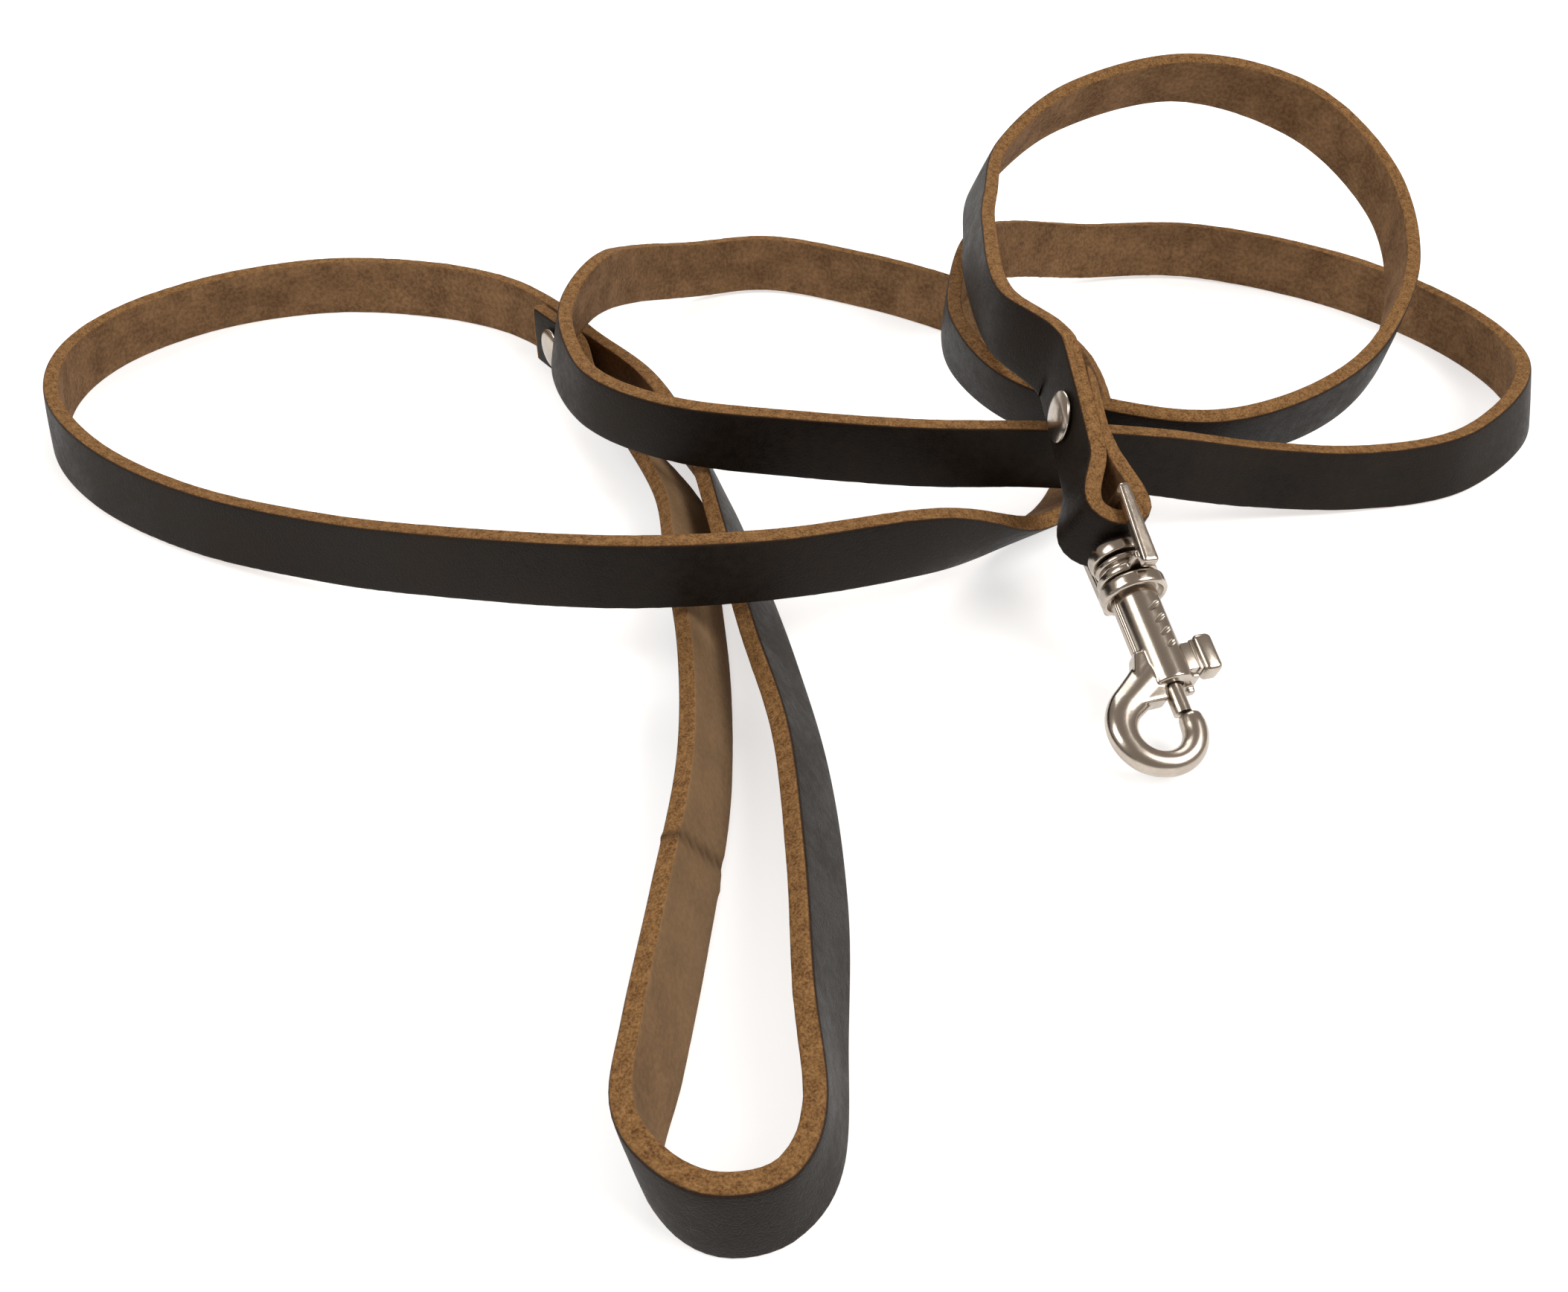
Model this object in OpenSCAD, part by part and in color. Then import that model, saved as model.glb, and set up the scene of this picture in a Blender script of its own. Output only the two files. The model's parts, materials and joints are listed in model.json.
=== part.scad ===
// Flat strap leash with a riveted handle loop and a swivel bolt snap.
// Millimetres, +Z up.  The strap stands on its edge on the plane z = 0.

/* [Strap] */
// Width of the strap
strap_w = 12.7; // [11:0.1:13.4]
// Thickness of the strap
strap_t = 3; // [2.4:0.1:3.2]
// Bevel along the strap's four long edges
strap_bevel = 0.4; // [0.2:0.05:0.8]
// Gap between the two layers of the handle lap
lap_gap = 0.5; // [0.4:0.05:0.8]
// Distance from the handle rivet to the strap's cut end
lap_tail = 9; // [7:0.5:10]
// Thickness of the skived tail under the snap's rivet
skive_t = 1.6; // [1.2:0.1:3]

/* [Rivets] */
// Diameter of a rivet cap
cap_d = 8.9; // [8:0.1:10.5]
// Height of a rivet cap's dome
cap_h = 1.3; // [0.9:0.1:1.8]
// Diameter of a rivet post
post_d = 3; // [2.2:0.1:3.6]

/* [Swivel eye] */
// Diameter of the eye's crossbar
bar_d = 2.3; // [1.9:0.1:2.8]
// Inside width of the eye at the crossbar
eye_in = 14.8; // [14.6:0.1:15.6]
// Thickness of a leg
leg_t = 2; // [1.6:0.1:2.6]
// Width of a leg
leg_w = 2.7; // [1.8:0.1:3]
// Diameter of the eye's ring
ring_d = 9.8; // [9:0.1:10.4]
// Diameter of the swivel stud's head
head_d = 9.8; // [8.5:0.1:10.2]
// Diameter of the swivel stud's stem
stem_d = 3.6; // [3:0.1:4]

/* [Bolt snap] */
// Outside diameter of the barrel
barrel_d = 7; // [6.8:0.1:8]
// Diameter of the collar at the top of the barrel
collar_d = 10.8; // [10:0.1:11.6]
// Length of the barrel below its collar
barrel_l = 15.9; // [14:0.1:18]
// Bore of the barrel
bore_d = 4.6; // [4.2:0.1:4.8]
// Diameter of the hook's rod
rod_d = 4; // [3.4:0.1:4.4]
// Clear width inside the hook
hook_in = 6.8; // [6.4:0.1:8]
// Diameter of the bolt's pin
bolt_d = 2.9; // [2.2:0.1:3.2]
// Travel of the bolt
bolt_travel = 4.5; // [3:0.1:4.6]
// Height of the thumb piece above the snap's axis
thumb_out = 8.9; // [7.5:0.1:10]

/* [Hidden] */

leather = "#3a2a20";
nickel = "silver";
run_fit = 0.05;
eps = 0.01;
// whole-model shift that centres the box on the origin
place = [-0.2, -0.9, 0];
steps = 2;

// ---- handle lap: a point, a direction and the normal that the tail layer lies on
lap_at = [-47.5, 79.5];
lap_dir = [2, -3] / norm([2, -3]);
lap_nrm = [-3, -2] / norm([3, 2]);
lap_off = strap_t + lap_gap;
function lap_main(s) = [lap_at[0] + lap_dir[0] * s, lap_at[1] + lap_dir[1] * s, 0, 0];
function lap_tail_at(s) = lap_main(s) + lap_off * [lap_nrm[0], lap_nrm[1], 0, 0];

// ---- snap frame: the crossbar's centre, the way the snap points, and its dip
bar_at = [50.2, -16.3, 20.8];
snap_yaw = -75;
snap_dip = 23.5;
eye_roll = 6;
fold_turn = 9;
fold_gap = 0.3;
fold_mid = (strap_t + fold_gap) / 2;
fold_rc = 2.1 + strap_t / 2;
fold_rw = fold_rc + 0.7;
fold_lap = 10.5;
skive_from = 7;
skive_to = 16;
rivet_back = 21.5;
tail_back = 27.5;
fold_start = 32;

function rot_x(v, a) = [v[0], v[1] * cos(a) - v[2] * sin(a), v[1] * sin(a) + v[2] * cos(a)];
function rot_y(v, a) = [v[0] * cos(a) + v[2] * sin(a), v[1], v[2] * cos(a) - v[0] * sin(a)];
function rot_z(v, a) = [v[0] * cos(a) - v[1] * sin(a), v[0] * sin(a) + v[1] * cos(a), v[2]];
function fold_vec(v) = rot_z(rot_y(rot_x(rot_z(v, -fold_turn), -eye_roll), snap_dip), snap_yaw);
fold_f = fold_vec([1, 0, 0]);
fold_n = fold_vec([0, 1, 0]);
fold_w = fold_vec([0, 0, 1]);

// ---- strap route, one row per point: x, y, height of the lower edge, lean in degrees
// down the left run of the handle, round its end and back up the right run
route_handle = [
  [-39, 53, 0, 16], [-29, 34, 0, 36], [-20, 12, 0, 44], [-17, -12, 0, 36],
  [-14, -37, 0, 28], [-13, -63, 0, 23], [-15, -89, 0, 22], [-17, -109, 0, 20],
  [-18, -121, 0, 12], [-14, -128, 0, 6], [-8, -131, 0, 2], [-1, -129, 0, 0],
  [3, -121, 0, -10], [3, -104, 0, -21], [3, -82, 0, -29], [1, -56, 0, -31],
  [-4, -30, 0, -36], [-10, -2, 0, -31], [-17, 26, 0, -20], [-28, 52, 0, -7]];
// the big west loop, over the handle and on to the east
route_west = [
  [-66, 100, 0, 2], [-85, 108, 0, 3], [-108, 110, 0, -2], [-131, 101, 0, -9],
  [-147, 84, 0, -10], [-152, 64, 0, -7], [-146, 42, 0, -7], [-130, 22, 0, -8],
  [-107, 6, 0.5, -5], [-80, -7, 3, -1], [-53, -20, 8.5, 3], [-27, -29, 13, 4],
  [-3, -27, 13, 7], [20, -15, 9, 10], [37, 1, 1, 44], [50, 14, 0, 51],
  [57, 31, 0, 45], [59, 47, 0, 43], [58, 66, 0, 32], [50, 84, 0, 16]];
// back across the middle, over the handle lap and along the front
route_middle = [
  [36, 100, 0, 5], [16, 114, 0, 3], [-5, 122, 0.5, 4], [-23, 116, 1.5, 2],
  [-36, 99, 7.5, -3], [-42, 78, 13.5, -9], [-46, 58, 13.5, -12], [-43, 40, 13.5, -7],
  [-35, 25, 13.5, 4], [-20, 15, 13.5, 7], [1, 11.5, 12.8, 5], [23, 9.8, 12, 4],
  [44.2, 11, 11, 5], [64, 12, 9, 4], [85, 17, 3.5, 2], [107, 21, 0.5, 1]];
// the big east loop
route_east = [
  [128, 28, 0, -7], [146, 46, 1, -14], [152, 68, 0, -10], [144, 94, 0, -5],
  [125, 117, 0, 0], [98, 130, 0.5, 4], [71, 127, 1.5, 6], [51, 111, 8.5, 5],
  [40, 92, 14, 0], [34, 73, 13.5, -5], [33, 51, 13, 5]];
// the raised ring that ends at the snap
route_ring = [
  [41, 31, 12.5, 20], [58, 21, 11.5, 26], [78, 22, 9, 26], [100, 35, 7.5, 16],
  [118, 55, 8.5, 11], [130, 79, 15, 8], [131, 103, 25, -4], [117, 123, 36, -12],
  [90, 130, 42, -31], [62, 122, 38, -29], [44, 103, 31, -25], [39, 79, 28, -17],
  [37, 58, 28, -11], [38, 33, 27, -2]];

function half_high(a) = strap_w / 2 * abs(cos(a)) + strap_t / 2 * abs(sin(a));
function side_of(t) = cross(t, up_of(t));
function up_of(t) = let (u = [0, 0, 1] - t[2] * t) u / norm(u);
fold_lean = atan2(fold_w * side_of(fold_f), fold_w * up_of(fold_f));
function fold_row(p) = let (c = bar_at + p * fold_f - fold_mid * fold_n)
  [c[0], c[1], c[2] - half_high(fold_lean), fold_lean];

part_a = concat([lap_tail_at(-lap_tail), lap_tail_at(9)], route_handle, [lap_main(9), lap_main(-9)]);
part_b = concat(route_west, route_middle, route_east, route_ring, [fold_row(-fold_start)]);
rows = concat(part_a, part_b);
last = len(rows) - 1;
rows_ext = concat([2 * rows[0] - rows[1]], rows, [fold_row(20 - fold_start)]);

function blend(a, b, c, d, t) =
  (2 * b + (c - a) * t + (2 * a - 5 * b + 4 * c - d) * t * t + (3 * b - a - 3 * c + d) * t * t * t) / 2;
smooth = concat(
  [for (i = [0:last - 1])
    for (k = [0:steps - 1])
      blend(rows_ext[i], rows_ext[i + 1], rows_ext[i + 2], rows_ext[i + 3], k / steps)],
  [rows[last]]);
mids = [for (r = smooth) [r[0], r[1], max(0, r[2]) + half_high(r[3])]];
n_mid = len(mids);
cut_a = (len(part_a) - 1) * steps;

function heading(i) =
  i == n_mid - 1 ? fold_f
  : let (d = mids[i + 1] - mids[max(0, i - 1)]) d / norm(d);
function ring_at(i) =
  let (
    t = heading(i),
    a = smooth[i][3],
    w = cos(a) * up_of(t) + sin(a) * side_of(t),
    n = cross(t, w),
    hw = strap_w / 2,
    ht = strap_t / 2,
    b = strap_bevel)
  [for (q = [[ht, hw - b], [ht - b, hw], [b - ht, hw], [-ht, hw - b],
             [-ht, b - hw], [b - ht, -hw], [ht - b, -hw], [ht, b - hw]])
    mids[i] + q[0] * n + q[1] * w];

// one closed ribbon through the rings from first to final
module ribbon(first, final) {
  sides = 8;
  count = final - first + 1;
  pts = [for (i = [first:final]) each ring_at(i)];
  skin = [for (i = [0:count - 2])
    for (k = [0:sides - 1])
      let (a = i * sides + k, b = i * sides + (k + 1) % sides)
      each [[a, b, b + sides], [a, b + sides, a + sides]]];
  near_cap = [for (k = [1:sides - 2]) [0, k + 1, k]];
  far = (count - 1) * sides;
  far_cap = [for (k = [1:sides - 2]) [far, far + k, far + k + 1]];
  polyhedron(points = pts, faces = concat(skin, near_cap, far_cap), convexity = 10);
}

// ---- local frames
module at_snap() {
  translate(bar_at) rotate([0, snap_dip, snap_yaw]) children();
}
module at_eye() {
  at_snap() rotate([-eye_roll, 0, 0]) children();
}
module at_fold() {
  at_eye() rotate([0, 0, -fold_turn]) children();
}
module at_lap_rivet() {
  translate([lap_at[0], lap_at[1], strap_w / 2])
    rotate([0, 0, atan2(lap_nrm[1], lap_nrm[0])])
      translate([lap_off / 2, 0, 0])
        rotate([0, 90, 0]) children();
}
module at_fold_rivet() {
  at_fold() translate([-rivet_back, (skive_t - strap_t) / 2, 0]) rotate([-90, 0, 0]) children();
}
// a turned shape whose profile is drawn as [radius, station along the snap]
module turned(profile) {
  rotate([0, 90, 0]) rotate_extrude($fn = 64) polygon(profile);
}
module rod_x(d, s0, s1) {
  translate([s0, 0, 0]) rotate([0, 90, 0]) cylinder(d = d, h = s1 - s0, $fn = 48);
}

// ---- strap
module rivet_hole() {
  cylinder(d = post_d, h = 30, center = true, $fn = 32);
}
module handle_loop() {
  color(leather)
    difference() {
      ribbon(0, cut_a);
      at_lap_rivet() cylinder(d = post_d, h = 4 * strap_t, center = true, $fn = 32);
    }
}
module lead_strap() {
  color(leather) ribbon(cut_a, n_mid - 1);
}

// the fold's middle line on one side: half-gap at the lap, opening to the round tip
tip_steps = 12;
function ease(t) = t * t * (3 - 2 * t);
function fold_half(p) =
  p < -fold_lap ? fold_mid : fold_mid + (fold_rw - fold_mid) * ease((p + fold_lap) / fold_lap);
function tail_t(p) =
  strap_t - (strap_t - skive_t) * ease(min(1, max(0, (-p - skive_from) / (skive_to - skive_from))));
side_p = concat([fold_lap], [for (k = [1:7]) fold_lap * (1 - k / 7)]);
side_in = [for (p = side_p) [-p, -fold_half(-p)]];
tip_arc = [for (k = [1:tip_steps - 1]) let (a = -90 + 180 * k / tip_steps) [fold_rc * cos(a), fold_rw * sin(a)]];
fold_line = concat(
  [[-fold_start, -fold_mid], [-rivet_back, -fold_mid]],
  side_in,
  tip_arc,
  [for (k = [len(side_in) - 1:-1:0]) [side_in[k][0], -side_in[k][1]]],
  [[-skive_to, fold_mid], [-tail_back, fold_mid]]);
n_fold = len(fold_line);
function fold_dir(i) =
  i == 0 || i == n_fold - 1 ? (i == 0 ? [1, 0] : [-1, 0])
  : let (d = fold_line[i + 1] - fold_line[i - 1]) d / norm(d);
function fold_side(i, h) = fold_line[i] + h * [-fold_dir(i)[1], fold_dir(i)[0]];
module fold_outline() {
  polygon(concat(
    [for (i = [0:n_fold - 1])
      fold_side(i, fold_line[i][1] > 0 ? strap_t / 2 - tail_t(fold_line[i][0]) : -strap_t / 2)],
    [for (i = [n_fold - 1:-1:0]) fold_side(i, strap_t / 2)]));
}
module snap_fold() {
  color(leather)
    difference() {
      at_fold() linear_extrude(height = strap_w, center = true) fold_outline();
      at_fold_rivet() rivet_hole();
    }
}

// ---- rivets
stack_h = 2 * strap_t + lap_gap;
stack_f = strap_t + skive_t + fold_gap;
cap_air = 0.35;
module cap_dome() {
  rotate_extrude($fn = 48)
    polygon([[0, 0], [cap_d / 2 - 0.3, 0], [cap_d / 2, 0.3], [cap_d / 2 - 0.4, cap_h * 0.55],
      [cap_d * 0.36, cap_h * 0.85], [cap_d * 0.2, cap_h * 0.97], [0, cap_h]]);
}
module cap_set(stack) {
  translate([0, 0, stack / 2 + cap_air]) cap_dome();
}
module post_set(stack) {
  union() {
    mirror([0, 0, 1]) translate([0, 0, stack / 2 + cap_air]) cap_dome();
    translate([0, 0, -stack / 2 - cap_air - eps])
      cylinder(d = post_d, h = stack + 2 * cap_air + eps, $fn = 32);
  }
}
module rivet_caps() {
  color(nickel) {
    at_lap_rivet() cap_set(stack_h);
    at_fold_rivet() mirror([0, 0, 1]) cap_set(stack_f);
  }
}
module rivet_posts() {
  color(nickel) {
    at_lap_rivet() post_set(stack_h);
    at_fold_rivet() mirror([0, 0, 1]) post_set(stack_f);
  }
}

// ---- swivel eye, stations counted from the crossbar along the snap
head_s = fold_rc + strap_t / 2 + 0.4;
head_e = head_s + 2.6;
ring_s = head_e + 0.4;
ring_e = ring_s + 3.5;
collar_s = ring_e + 0.3;
collar_e = collar_s + 2.7;
leg_top = eye_in / 2;
leg_foot = leg_top - 1.2;
foot_e = ring_e + 1.3;
module leg() {
  translate([0, leg_w / 2, 0]) rotate([90, 0, 0])
    linear_extrude(height = leg_w)
      polygon([[-1.1, leg_top], [-0.6, leg_top + leg_t], [0.8, leg_top + leg_t],
        [foot_e - 0.6, leg_foot + leg_t], [foot_e, leg_foot + leg_t - 0.6],
        [foot_e, leg_foot], [ring_e, leg_foot],
        [ring_e, ring_d / 2 - 1.5], [ring_e - 1.5, ring_d / 2 - 1.5], [ring_e - 1.5, leg_foot]]);
}
module swivel_eye() {
  color(nickel)
    at_eye()
      difference() {
        union() {
          cylinder(d = bar_d, h = eye_in + leg_t, center = true, $fn = 32);
          leg();
          mirror([0, 0, 1]) leg();
          turned([[0, ring_s], [ring_d / 2 - 0.8, ring_s], [ring_d / 2 - 0.5, ring_s + 0.3],
            [ring_d / 2 - 0.5, ring_s + 0.8], [ring_d / 2 - 1.2, ring_s + 1.1],
            [ring_d / 2 - 1.2, ring_e - 1.5], [ring_d / 2 - 0.3, ring_e - 1.4],
            [ring_d / 2, ring_e - 1], [ring_d / 2, ring_e - 0.3], [ring_d / 2 - 0.3, ring_e],
            [0, ring_e]]);
        }
        rod_x(stem_d + 2 * run_fit, ring_s - 1, ring_e + 1);
      }
}
module swivel_stud() {
  color(nickel)
    at_snap()
      turned([[0, head_s], [head_d * 0.3, head_s], [head_d * 0.43, head_s + 0.4],
        [head_d / 2 - 0.15, head_s + 1.1], [head_d / 2, head_s + 2], [head_d / 2, head_e - 0.2],
        [head_d / 2 - 0.2, head_e], [stem_d / 2, head_e], [stem_d / 2, collar_e], [0, collar_e]]);
}

// ---- hook
barrel_e = collar_e + barrel_l;
thumb_s = barrel_e - 4.1;
neck_l = 4.7;
neck_w = 2.6;
bush_l = 0.9;
bush_in = 0.8;
hook_off = 0.8;
plug_s = collar_e + 0.2;
hook_r = (hook_in + rod_d) / 2;
hook_s = barrel_e + 6.8;
tip_s = hook_s - 2;
shank_l = 9.5;
slot_s = thumb_s - neck_l / 2 - bolt_travel - 0.15;
slot_e = thumb_s + neck_l / 2 + 0.1;
shelf_w = 2.6;
module hook_ring() {
  // the open C lies in the plane of the snap's axis and the thumb piece
  translate([hook_s, hook_off - hook_r, 0])
    rotate([0, 0, -135]) rotate_extrude(angle = 225, $fn = 64)
      translate([hook_r, 0]) circle(d = rod_d, $fn = 32);
}
module shank() {
  translate([hook_s - hook_r * sin(45), hook_off - hook_r - hook_r * cos(45), 0])
    rotate([0, 0, 135]) translate([-0.9, 0, 0]) rotate([0, 90, 0])
      cylinder(d1 = rod_d + 0.3, d2 = rod_d + 2, h = shank_l, $fn = 32);
}
module flute(k) {
  translate([collar_e + 3.2 + 2.4 * k, 0.2, barrel_d / 2 + 0.25])
    rotate([0, 0, 60]) rotate([0, 90, 0])
      cylinder(d = 1.1, h = 3.2, center = true, $fn = 24);
}
module hook_body() {
  color(nickel)
    at_snap()
      difference() {
        union() {
          turned([[0, collar_s], [collar_d / 2 - 0.5, collar_s], [collar_d / 2, collar_s + 0.5],
            [collar_d / 2, collar_e - 0.5], [collar_d / 2 - 0.3, collar_e],
            [collar_d / 2 - 0.8, collar_e], [barrel_d / 2 + 0.3, collar_e - 1.2],
            [barrel_d / 2, collar_e - 1.2], [barrel_d / 2, barrel_e], [0, barrel_e]]);
          hook_ring();
          shank();
          translate([0, hook_off, 0]) rod_x(rod_d - 0.4, tip_s, hook_s + 0.8);
          translate([barrel_e - 1.2, 0, -shelf_w / 2]) cube([1.2, barrel_d / 2 + 0.8, shelf_w]);
        }
        rod_x(stem_d, collar_s - 1, collar_e + 1);
        rod_x(bore_d, collar_e, barrel_e + 0.5);
        translate([slot_s, 0, -neck_w / 2 - run_fit])
          cube([slot_e - slot_s, barrel_d, neck_w + 2 * run_fit]);
        for (k = [0:3]) flute(k);
      }
}
module front_bush() {
  color(nickel)
    at_snap()
      difference() {
        rod_x(bore_d, barrel_e - bush_in - bush_l, barrel_e - bush_in);
        rod_x(bolt_d + 2 * run_fit, barrel_e - 2, barrel_e + 1);
      }
}

// ---- bolt, thumb piece and spring
plunger_e = barrel_e - bush_in - bush_l - 0.05;
plunger_s = thumb_s - neck_l / 2 - 0.4;
module bolt() {
  color(nickel)
    at_snap()
      difference() {
        union() {
          rod_x(bore_d - 2 * run_fit, plunger_s, plunger_e);
          rod_x(bolt_d, plunger_e - eps, tip_s - 0.1);
        }
        translate([thumb_s, 0, 0]) rotate([-90, 0, 0]) cylinder(d = 1.8, h = bore_d, $fn = 32);
      }
}
module thumb_stud() {
  color(nickel)
    at_snap()
      union() {
        translate([thumb_s, 0, 0]) rotate([-90, 0, 0]) cylinder(d = 1.8, h = bore_d / 2 + 1, $fn = 32);
        translate([thumb_s - neck_l / 2, bore_d / 2 + 0.1, -neck_w / 2])
          cube([neck_l, thumb_out - 3.3 - bore_d / 2, neck_w]);
        translate([thumb_s, thumb_out - 3.3, 0]) rotate([-90, 0, 0])
          linear_extrude(height = 3.3)
            polygon([[-3.3, -1.5], [-2.9, -1.9], [2.9, -1.9], [3.3, -1.5],
              [3.3, 1.5], [2.9, 1.9], [-2.9, 1.9], [-3.3, 1.5]]);
      }
}
wire_d = 0.45;
coil_turns = 7;
coil_seg = 14;
spring_s = plug_s + 0.25;
spring_e = plunger_s - 0.25;
coil_r = bore_d / 2 - 0.3 - wire_d / 2;
function coil_pt(u, a) =
  let (ph = 360 * u, r = coil_r + wire_d / 2 * cos(a))
  [spring_s + wire_d / 2 + (spring_e - spring_s - wire_d) * u / coil_turns + wire_d / 2 * sin(a),
   r * cos(ph), r * sin(ph)];
module bolt_spring() {
  n = coil_turns * coil_seg;
  sides = 6;
  pts = [for (i = [0:n]) for (k = [0:sides - 1]) coil_pt(i / coil_seg, 360 * k / sides)];
  skin = [for (i = [0:n - 1])
    for (k = [0:sides - 1])
      let (a = i * sides + k, b = i * sides + (k + 1) % sides)
      each [[a, b + sides, b], [a, a + sides, b + sides]]];
  ends = concat(
    [for (k = [1:sides - 2]) [0, k, k + 1]],
    [for (k = [1:sides - 2]) [n * sides, n * sides + k + 1, n * sides + k]]);
  color(nickel) at_snap() polyhedron(points = pts, faces = concat(skin, ends), convexity = 10);
}

translate(place) {
  handle_loop();
  lead_strap();
  snap_fold();
  rivet_caps();
  rivet_posts();
  swivel_eye();
  swivel_stud();
  hook_body();
  bolt();
  thumb_stud();
  bolt_spring();
  front_bush();
}
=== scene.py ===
"""Training leash: one riveted leather strap lying in loops, with a swivel bolt snap.

Every length is written in millimetres and turned to metres by MM.  The strap's
route is the one that the part's solids follow; the snap is built along its own
axis and then laid in place by one matrix.
"""

import json
import logging
import math
from dataclasses import dataclass, field
from enum import Enum
from typing import Iterable, Sequence

import bpy
import numpy as np
from mathutils import Matrix, Vector, noise

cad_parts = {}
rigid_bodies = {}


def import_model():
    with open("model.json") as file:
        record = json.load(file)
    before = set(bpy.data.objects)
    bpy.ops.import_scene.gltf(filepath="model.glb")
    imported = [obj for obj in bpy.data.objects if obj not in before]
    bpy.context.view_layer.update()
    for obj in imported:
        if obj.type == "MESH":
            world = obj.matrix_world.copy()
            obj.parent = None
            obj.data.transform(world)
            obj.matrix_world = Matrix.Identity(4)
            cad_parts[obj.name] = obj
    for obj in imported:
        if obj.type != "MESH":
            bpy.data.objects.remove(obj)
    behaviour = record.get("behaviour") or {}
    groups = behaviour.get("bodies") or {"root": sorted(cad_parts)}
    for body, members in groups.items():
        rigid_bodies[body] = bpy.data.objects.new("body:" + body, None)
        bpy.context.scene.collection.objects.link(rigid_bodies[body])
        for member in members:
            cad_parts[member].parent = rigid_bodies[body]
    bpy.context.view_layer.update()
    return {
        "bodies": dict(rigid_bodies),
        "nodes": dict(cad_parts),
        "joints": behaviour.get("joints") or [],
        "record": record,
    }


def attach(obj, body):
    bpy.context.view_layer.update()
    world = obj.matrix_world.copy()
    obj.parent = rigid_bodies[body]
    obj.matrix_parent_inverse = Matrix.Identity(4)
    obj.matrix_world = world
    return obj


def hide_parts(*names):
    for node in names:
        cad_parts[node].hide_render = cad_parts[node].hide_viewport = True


MM = 0.001
PLACE = (-0.2, -0.9, 0.0)

log = logging.getLogger("leash")


class Body(Enum):
    """The moving bodies that a piece can ride on."""

    STRAP = "strap"
    EYE = "eye"
    HOOK = "hook"
    BOLT = "bolt"


class Slot(Enum):
    """The record's material slots."""

    LEATHER = "strap_leather"
    NICKEL = "nickel"


# --------------------------------------------------------------------------
# places
# --------------------------------------------------------------------------


@dataclass(frozen=True)
class SnapFrame:
    """Where the snap lies: its crossbar's centre and the way it points.

    In the snap's own frame X runs from the crossbar along the snap to the
    hook, Y towards the thumb piece and Z out of the hook's flat face.
    """

    bar: tuple[float, float, float] = (50.2, -16.3, 20.8)
    yaw: float = -75.0
    dip: float = 23.5
    eye_roll: float = 6.0
    fold_turn: float = 9.0

    def snap(self) -> Matrix:
        """The snap's matrix, in metres."""
        at = Vector(b + p for b, p in zip(self.bar, PLACE)) * MM
        turn = Matrix.Rotation(math.radians(self.yaw), 4, "Z")
        tilt = Matrix.Rotation(math.radians(self.dip), 4, "Y")
        return Matrix.Translation(at) @ turn @ tilt

    def eye(self) -> Matrix:
        """The swivel eye's matrix: the snap's, rolled about its axis."""
        return self.snap() @ Matrix.Rotation(math.radians(-self.eye_roll), 4, "X")

    def fold(self) -> Matrix:
        """The strap fold's matrix: the eye's, turned about the crossbar."""
        return self.eye() @ Matrix.Rotation(math.radians(-self.fold_turn), 4, "Z")


@dataclass(frozen=True)
class Lap:
    """The handle's lap: a point on the strap, its direction and the tail's side."""

    at: tuple[float, float] = (-47.5, 79.5)
    along: tuple[float, float] = (2.0, -3.0)
    gap: float = 0.5
    tail: float = 9.0
    half: float = 9.0

    def direction(self) -> np.ndarray:
        """Unit direction towards the handle's far end."""
        return np.array(self.along) / math.hypot(*self.along)

    def normal(self) -> np.ndarray:
        """Unit normal on whose side the tail layer lies."""
        d = self.direction()
        return np.array([d[1], -d[0]])

    def row(self, s: float, off: float) -> list[float]:
        """Route row at a distance along the lap.

        Args:
            s: distance from the rivet in millimetres.
            off: distance along the normal in millimetres.

        Returns:
            x, y, height of the lower edge and lean.
        """
        p = np.array(self.at) + s * self.direction() + off * self.normal()
        return [float(p[0]), float(p[1]), 0.0, 0.0]


# x, y, height of the strap's lower edge (mm) and lean (degrees)
ROUTE_HANDLE = [
    (-39, 53, 0, 16), (-29, 34, 0, 36), (-20, 12, 0, 44), (-17, -12, 0, 36),
    (-14, -37, 0, 28), (-13, -63, 0, 23), (-15, -89, 0, 22), (-17, -109, 0, 20),
    (-18, -121, 0, 12), (-14, -128, 0, 6), (-8, -131, 0, 2), (-1, -129, 0, 0),
    (3, -121, 0, -10), (3, -104, 0, -21), (3, -82, 0, -29), (1, -56, 0, -31),
    (-4, -30, 0, -36), (-10, -2, 0, -31), (-17, 26, 0, -20), (-28, 52, 0, -7),
]
ROUTE_WEST = [
    (-66, 100, 0, 2), (-85, 108, 0, 3), (-108, 110, 0, -2), (-131, 101, 0, -9),
    (-147, 84, 0, -10), (-152, 64, 0, -7), (-146, 42, 0, -7), (-130, 22, 0, -8),
    (-107, 6, 0.5, -5), (-80, -7, 3, -1), (-53, -20, 8.5, 3), (-27, -29, 13, 4),
    (-3, -27, 13, 7), (20, -15, 9, 10), (37, 1, 1, 44), (50, 14, 0, 51),
    (57, 31, 0, 45), (59, 47, 0, 43), (58, 66, 0, 32), (50, 84, 0, 16),
]
ROUTE_MIDDLE = [
    (36, 100, 0, 5), (16, 114, 0, 3), (-5, 122, 0.5, 4), (-23, 116, 1.5, 2),
    (-36, 99, 7.5, -3), (-42, 78, 13.5, -9), (-46, 58, 13.5, -12), (-43, 40, 13.5, -7),
    (-35, 25, 13.5, 4), (-20, 15, 13.5, 7), (1, 11.5, 12.8, 5), (23, 9.8, 12, 4),
    (44.2, 11, 11, 5), (64, 12, 9, 4), (85, 17, 3.5, 2), (107, 21, 0.5, 1),
]
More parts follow.
